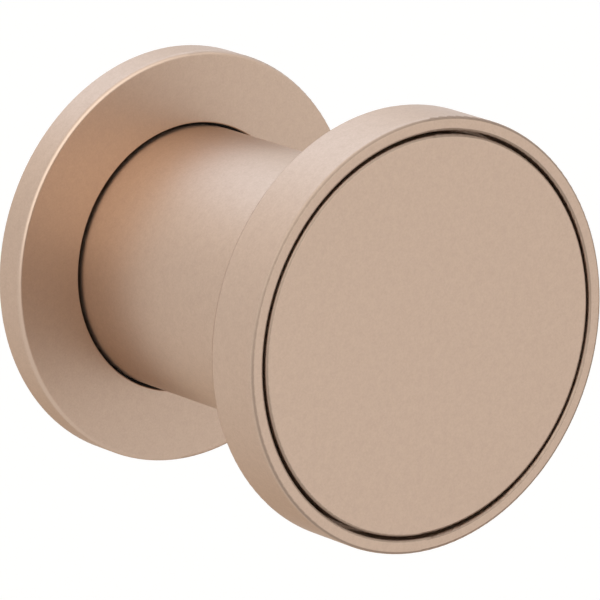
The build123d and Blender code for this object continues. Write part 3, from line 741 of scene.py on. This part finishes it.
fresh()
bpy.ops.mesh.primitive_plane_add(size=MM, location=(THREAD_ROOT * MM, 0, 0))
thread = bpy.context.object
settle(thread)
edit(thread)
bpy.ops.mesh.select_all(action="SELECT")
bpy.ops.mesh.merge(type="CENTER")
for outwards, along in ((0, FLAT), (THREAD_HEIGHT, FLANK), (0, FLAT),
                        (-THREAD_HEIGHT, FLANK), (0, FLAT)):
    bpy.ops.mesh.extrude_region_move(
        TRANSFORM_OT_translate={"value": (outwards * MM, along * MM, 0)})
fresh()
apply_modifier(thread, "SCREW", axis="Y", angle=2 * pi, screw_offset=PITCH * MM, iterations=TURNS,
               steps=THREAD_STEPS, render_steps=THREAD_STEPS,
               use_merge_vertices=True, merge_threshold=TINY)
clean(thread)
thread.location = (0, -2 * PITCH * MM, 0)
settle(thread)
edit(thread)
for depth, away in ((THREAD_FRONT, -1), (point, 1)):
    bpy.ops.mesh.select_all(action="SELECT")
    bpy.ops.mesh.bisect(plane_co=(0, -depth * MM, 0), plane_no=(0, away, 0), use_fill=True,
                        clear_outer=True, threshold=TINY)
clean(thread)
print("thread:", len(thread.data.polygons), "faces")

# %% Point the thread and join it to the head
POINT_LENGTH = 1.0
POINT_R = THREAD_ROOT - 0.25
TAPER_R = SHANK_R + 0.3
TAPER_FRONT = 0.2
TAPER_STEPS = 48
taper = turned([(0, TAPER_FRONT), (TAPER_R, TAPER_FRONT), (TAPER_R, point + POINT_LENGTH),
                (POINT_R, point), (0, point)], TAPER_STEPS, closed=False)
apply_modifier(thread, "BOOLEAN", operation="INTERSECT", solver="EXACT", object=taper)
bpy.data.objects.remove(taper)
apply_modifier(head, "BOOLEAN", operation="UNION", solver="EXACT", object=thread)
bpy.data.objects.remove(thread)
clean(head)
head.location = (CIRCLE_R * cos(pi / 4) * MM, 0, CIRCLE_R * sin(pi / 4) * MM)
settle(head)
print("screw:", len(head.data.polygons), "faces")

# %% Copy the screw to its four places
SCREW_COUNT = 4
for number in range(SCREW_COUNT):
    screw = head.copy()
    screw.data = head.data.copy()
    bpy.context.scene.collection.objects.link(screw)
    edit(screw)
    bpy.ops.mesh.select_all(action="SELECT")
    bpy.ops.transform.rotate(value=number * 2 * pi / SCREW_COUNT, orient_axis="Y",
                             center_override=(0, 0, 0))
    finish(screw, f"fixing_screw_{number + 1}", "root", "steel", steel, "fixing_screws", angle=25)
bpy.data.objects.remove(head)

# %% [markdown]
# The studio is a pale floor, a white surround and a few large soft lights. A ray that is seen, by the
# camera, in a reflection or through glass, meets white. The floor is made in the same way: a small part of
# its white is a glow on such rays, and the rest is the light that falls on it, so the shadow of the mixer
# stays. It lies far below the mixer, so that the shadow is soft.

# %% Lay the floor
FLOOR_DROP = 0.40
FLOOR_SIZE = 12.0
FLOOR_COLOUR = 0.8
FLOOR_GLOW = 0.27


def seen_share(tree):
    """1 on rays of the camera, of mirrors and of glass, and 0 on rays that carry light."""
    path = add_node(tree, "ShaderNodeLightPath").outputs
    share = maths(tree, "MAXIMUM", path["Is Camera Ray"], path["Is Glossy Ray"])
    return maths(tree, "MAXIMUM", share, path["Is Transmission Ray"])


fresh()
bpy.ops.mesh.primitive_plane_add(size=FLOOR_SIZE, location=(0, 0, -FLOOR_DROP))
floor = bpy.context.object
floor.name = "floor"
floor_finish, tree, shader = start_material("pale_floor")
shader.inputs["Base Color"].default_value = grey(FLOOR_COLOUR)
shader.inputs["Roughness"].default_value = 0.9
shader.inputs["Specular IOR Level"].default_value = 0
shader.inputs["Emission Color"].default_value = grey(1)
feed(tree, maths(tree, "MULTIPLY", seen_share(tree), FLOOR_GLOW), shader.inputs["Emission Strength"])
floor_finish.cycles.emission_sampling = "NONE"
floor.data.materials.append(floor_finish)
print("floor", FLOOR_DROP, "m below the axis")

# %% [markdown]
# Metal shows what stands round it, so the lights are painted on the surround itself, as soft patches with
# no edge that a mirror could show. There is a large one in front and above, a cool one behind at the
# right and a faint one above and behind. Each is a direction and a colour, and its brightness falls off
# smoothly round the direction, as it does round a large diffuser.
#
# A ray that carries light to a matt surface meets a dimmer surround. Its colour is what the lights leave
# to a full and neutral sum on the floor, so a colour looks as it is written.

# %% Paint the soft lights on the surround
ROOM_COLOUR = (0.446, 0.356, 0.259, 1)
SOFT_EDGE = 0.45
SOFT_LIGHTS = (
    ((-0.225, -0.836, 0.500), (1.20, 1.27, 1.26)),
    ((0.580, 0.680, 0.440), (0.45, 0.74, 1.15)),
    ((0.052, 0.587, 0.808), (0.25, 0.25, 0.25)),
)

studio = bpy.data.worlds.new("studio")
bpy.context.scene.world = studio
studio.use_nodes = True
studio.cycles.sampling_method = "NONE"
tree = studio.node_tree
direction = add_node(tree, "ShaderNodeTexCoord").outputs["Generated"]
total = blend(tree, seen_share(tree), ROOM_COLOUR, grey(1))
for towards, colour in SOFT_LIGHTS:
    facing = add_node(tree, "ShaderNodeVectorMath", operation="DOT_PRODUCT")
    feed(tree, direction, facing.inputs[0])
    facing.inputs[1].default_value = towards
    patch = add_node(tree, "ShaderNodeMapRange", interpolation_type="SMOOTHSTEP")
    feed(tree, facing.outputs["Value"], patch.inputs["Value"])
    patch.inputs["From Min"].default_value = SOFT_EDGE
    lit = add_node(tree, "ShaderNodeVectorMath", operation="MULTIPLY_ADD")
    feed(tree, patch.outputs["Result"], lit.inputs[0])
    lit.inputs[1].default_value = colour
    feed(tree, total, lit.inputs[2])
    total = lit.outputs["Vector"]
feed(tree, total, tree.nodes["Background"].inputs["Color"])
print(len(SOFT_LIGHTS), "soft lights")

# %% [markdown]
# The last cell shows colours as they are written and hands the scene over.

# %% Hand over
bpy.context.scene.view_settings.view_transform = "Standard"
